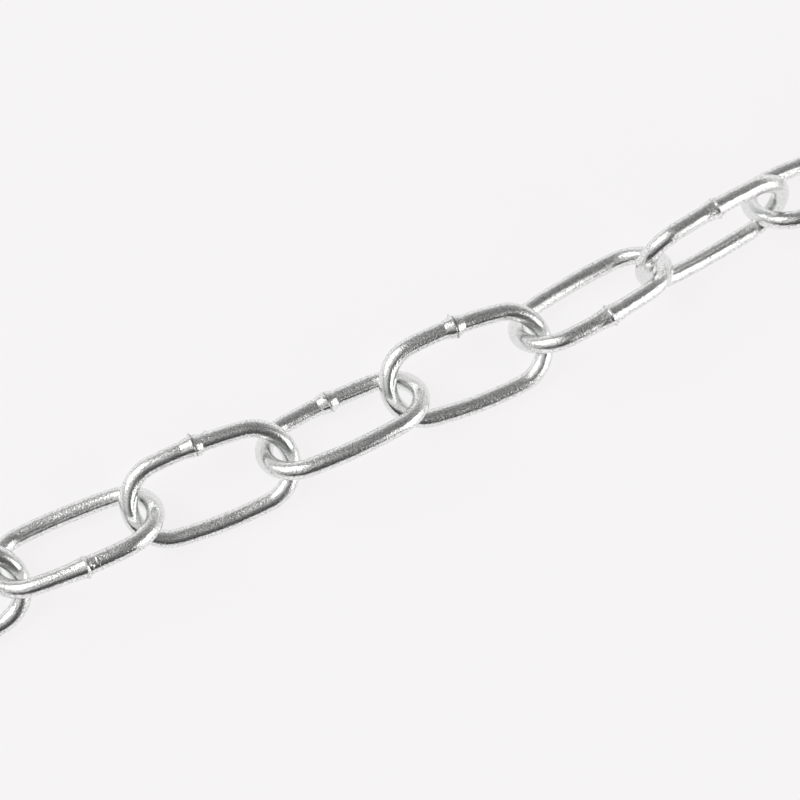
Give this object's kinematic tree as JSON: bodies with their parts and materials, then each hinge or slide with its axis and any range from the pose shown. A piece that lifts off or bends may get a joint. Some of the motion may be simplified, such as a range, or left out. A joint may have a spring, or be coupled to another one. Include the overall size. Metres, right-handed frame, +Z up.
{
  "type": "steel chain",
  "caption": "Run of zinc-plated steel chain: welded oval links of round wire, pulled out nearly straight on a level surface.",
  "frame": {"origin": "on the surface the chain lies on, under the middle of the run", "axes": "+X along the run towards link 21, +Y across it to the side the picture shows as far, +Z up"},
  "size_m": [0.9982, 0.0334, 0.0328],
  "materials": {
    "zinc_plate": "bright zinc plate on drawn wire"
  },
  "bodies": {
    "link_01": {"link_01": "zinc_plate"},
    "link_02": {"link_02": "zinc_plate"},
    "link_03": {"link_03": "zinc_plate"},
    "link_04": {"link_04": "zinc_plate"},
    "link_05": {"link_05": "zinc_plate"},
    "link_06": {"link_06": "zinc_plate"},
    "link_07": {"link_07": "zinc_plate"},
    "link_08": {"link_08": "zinc_plate"},
    "link_09": {"link_09": "zinc_plate"},
    "link_10": {"link_10": "zinc_plate"},
    "link_11": {"link_11": "zinc_plate"},
    "link_12": {"link_12": "zinc_plate"},
    "link_13": {"link_13": "zinc_plate"},
    "link_14": {"link_14": "zinc_plate"},
    "link_15": {"link_15": "zinc_plate"},
    "link_16": {"link_16": "zinc_plate"},
    "link_17": {"link_17": "zinc_plate"},
    "link_18": {"link_18": "zinc_plate"},
    "link_19": {"link_19": "zinc_plate"},
    "link_20": {"link_20": "zinc_plate"},
    "link_21": {"link_21": "zinc_plate"}
  },
  "joints": [
    {"name": "hinge_02", "type": "hinge", "parent": "link_01", "child": "link_02", "pos_m": [-0.44208, 0.00006, 0.00997], "axis": [0, -0.8526, -0.5225], "range_deg": [-80, 80]},
    {"name": "hinge_03", "type": "hinge", "parent": "link_02", "child": "link_03", "pos_m": [-0.3947, 0.00006, 0.00997], "axis": [0, 0.8526, -0.5225], "range_deg": [-80, 80]},
    {"name": "hinge_04", "type": "hinge", "parent": "link_03", "child": "link_04", "pos_m": [-0.34732, 0.00006, 0.00997], "axis": [0, 0.8526, 0.5225], "range_deg": [-80, 80]},
    {"name": "hinge_05", "type": "hinge", "parent": "link_04", "child": "link_05", "pos_m": [-0.29994, 0.00006, 0.00997], "axis": [0, -0.8526, 0.5225], "range_deg": [-80, 80]},
    {"name": "hinge_06", "type": "hinge", "parent": "link_05", "child": "link_06", "pos_m": [-0.25256, 0.00006, 0.00997], "axis": [0, -0.8526, -0.5225], "range_deg": [-80, 80]},
    {"name": "hinge_07", "type": "hinge", "parent": "link_06", "child": "link_07", "pos_m": [-0.20518, 0.00006, 0.00997], "axis": [0, 0.8526, -0.5225], "range_deg": [-80, 80]},
    {"name": "hinge_08", "type": "hinge", "parent": "link_07", "child": "link_08", "pos_m": [-0.15872, 0.00411, 0.01245], "axis": [-0.1903, 0.8371, 0.5129], "range_deg": [-80, 80]},
    {"name": "hinge_09", "type": "hinge", "parent": "link_08", "child": "link_09", "pos_m": [-0.11196, 0.00422, 0.00798], "axis": [0.1494, -0.8128, 0.5631], "range_deg": [-80, 80]},
    {"name": "hinge_10", "type": "hinge", "parent": "link_09", "child": "link_10", "pos_m": [-0.06565, 0.00233, 0.01184], "axis": [0.1431, -0.8737, -0.4649], "range_deg": [-80, 80]},
    {"name": "hinge_11", "type": "hinge", "parent": "link_10", "child": "link_11", "pos_m": [-0.02068, 0.00332, 0.00773], "axis": [-0.2649, 0.785, -0.56], "range_deg": [-80, 80]},
    {"name": "hinge_12", "type": "hinge", "parent": "link_11", "child": "link_12", "pos_m": [0.02578, 0.0005, 0.01193], "axis": [-0.1153, 0.8661, 0.4864], "range_deg": [-80, 80]},
    {"name": "hinge_13", "type": "hinge", "parent": "link_12", "child": "link_13", "pos_m": [0.07193, -0.00206, 0.01577], "axis": [-0.1727, -0.7448, 0.6446], "range_deg": [-80, 80]},
    {"name": "hinge_14", "type": "hinge", "parent": "link_13", "child": "link_14", "pos_m": [0.11693, 0.00162, 0.00867], "axis": [-0.2968, -0.2601, -0.9188], "range_deg": [-80, 80]},
    {"name": "hinge_15", "type": "hinge", "parent": "link_14", "child": "link_15", "pos_m": [0.16443, 0.00063, 0.0102], "axis": [0.0366, 0.8283, -0.5591], "range_deg": [-80, 80]},
    {"name": "hinge_16", "type": "hinge", "parent": "link_15", "child": "link_16", "pos_m": [0.2118, 0.00006, 0.00997], "axis": [0, 0.8526, 0.5225], "range_deg": [-80, 80]},
    {"name": "hinge_17", "type": "hinge", "parent": "link_16", "child": "link_17", "pos_m": [0.25918, 0.00006, 0.00997], "axis": [0, -0.8526, 0.5225], "range_deg": [-80, 80]},
    {"name": "hinge_18", "type": "hinge", "parent": "link_17", "child": "link_18", "pos_m": [0.30656, 0.00006, 0.00997], "axis": [0, -0.8526, -0.5225], "range_deg": [-80, 80]},
    {"name": "hinge_19", "type": "hinge", "parent": "link_18", "child": "link_19", "pos_m": [0.35394, 0.00006, 0.00997], "axis": [0, 0.8526, -0.5225], "range_deg": [-80, 80]},
    {"name": "hinge_20", "type": "hinge", "parent": "link_19", "child": "link_20", "pos_m": [0.40132, 0.00006, 0.00997], "axis": [0, 0.8526, 0.5225], "range_deg": [-80, 80]},
    {"name": "hinge_21", "type": "hinge", "parent": "link_20", "child": "link_21", "pos_m": [0.4487, 0.00006, 0.00997], "axis": [0, -0.8526, 0.5225], "range_deg": [-80, 80]}
  ]
}
